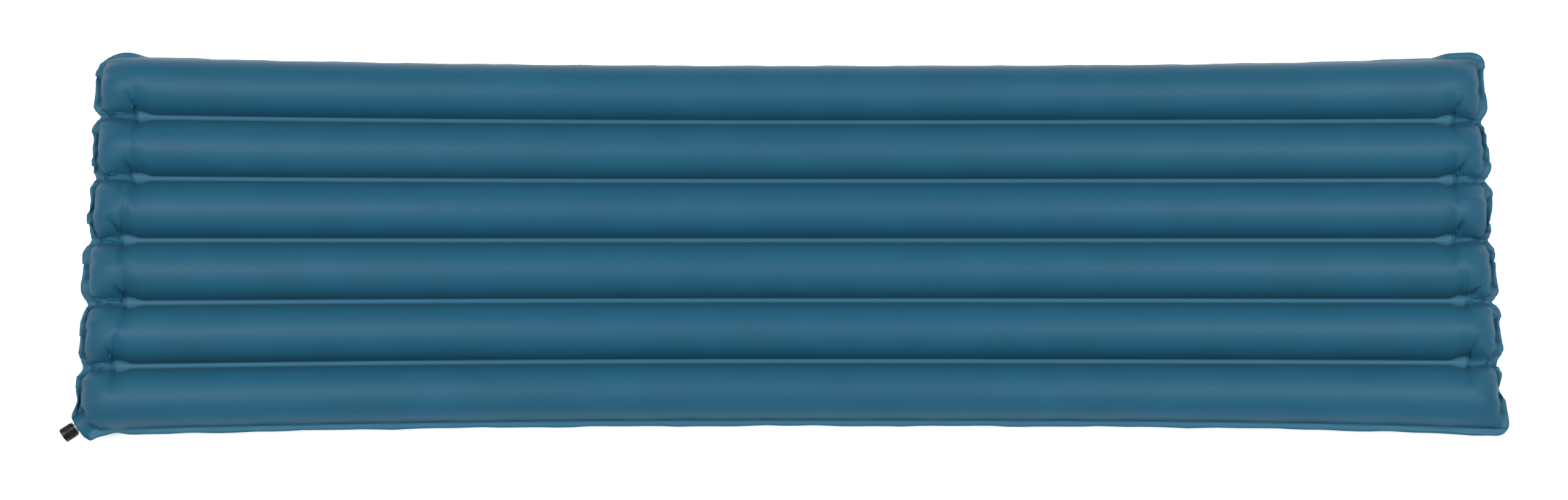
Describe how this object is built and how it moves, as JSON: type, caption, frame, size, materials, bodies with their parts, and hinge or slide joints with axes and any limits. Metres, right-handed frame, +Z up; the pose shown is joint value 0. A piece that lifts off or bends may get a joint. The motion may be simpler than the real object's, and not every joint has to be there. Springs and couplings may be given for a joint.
{
  "type": "air mattress",
  "caption": "Inflatable sleeping mat with lengthwise welded tubes joined by a cross channel at each end, and a screw-out twist valve at one corner.",
  "frame": {"origin": "on the floor, under the middle of the welded sheets", "axes": "+X along the tubes, away from the valve's end; +Z up; the valve leaves the corner at -X, -Y"},
  "size_m": [1.9235, 0.5433, 0.07],
  "materials": {
    "coated_fabric": "satin",
    "clear_tpu": "satin",
    "black_plastic": "satin",
    "seal_rubber": "matte"
  },
  "bodies": {
    "mattress": {"top_sheet": "coated_fabric", "bottom_sheet": "coated_fabric", "weld_fitting": "clear_tpu", "valve_stem": "black_plastic", "valve_plug": "black_plastic", "stem_ring": "seal_rubber"},
    "seat": {"seat_ring": "seal_rubber"},
    "knob": {"valve_knob": "black_plastic"}
  },
  "joints": [
    {"name": "knob_travel", "type": "slide", "parent": "mattress", "child": "seat", "axis": [-0.8231, -0.5678, 0], "range_m": [0, 0.00333]},
    {"name": "knob_turn", "type": "hinge", "parent": "seat", "child": "knob", "pos_m": [-0.94563, -0.25492, 0.035], "axis": [-0.8231, -0.5678, 0], "range_deg": [0, 300]}
  ],
  "couplings": [
    {"joint": "knob_travel", "follows": "knob_turn", "m_per_rad": 0.00063662}
  ]
}
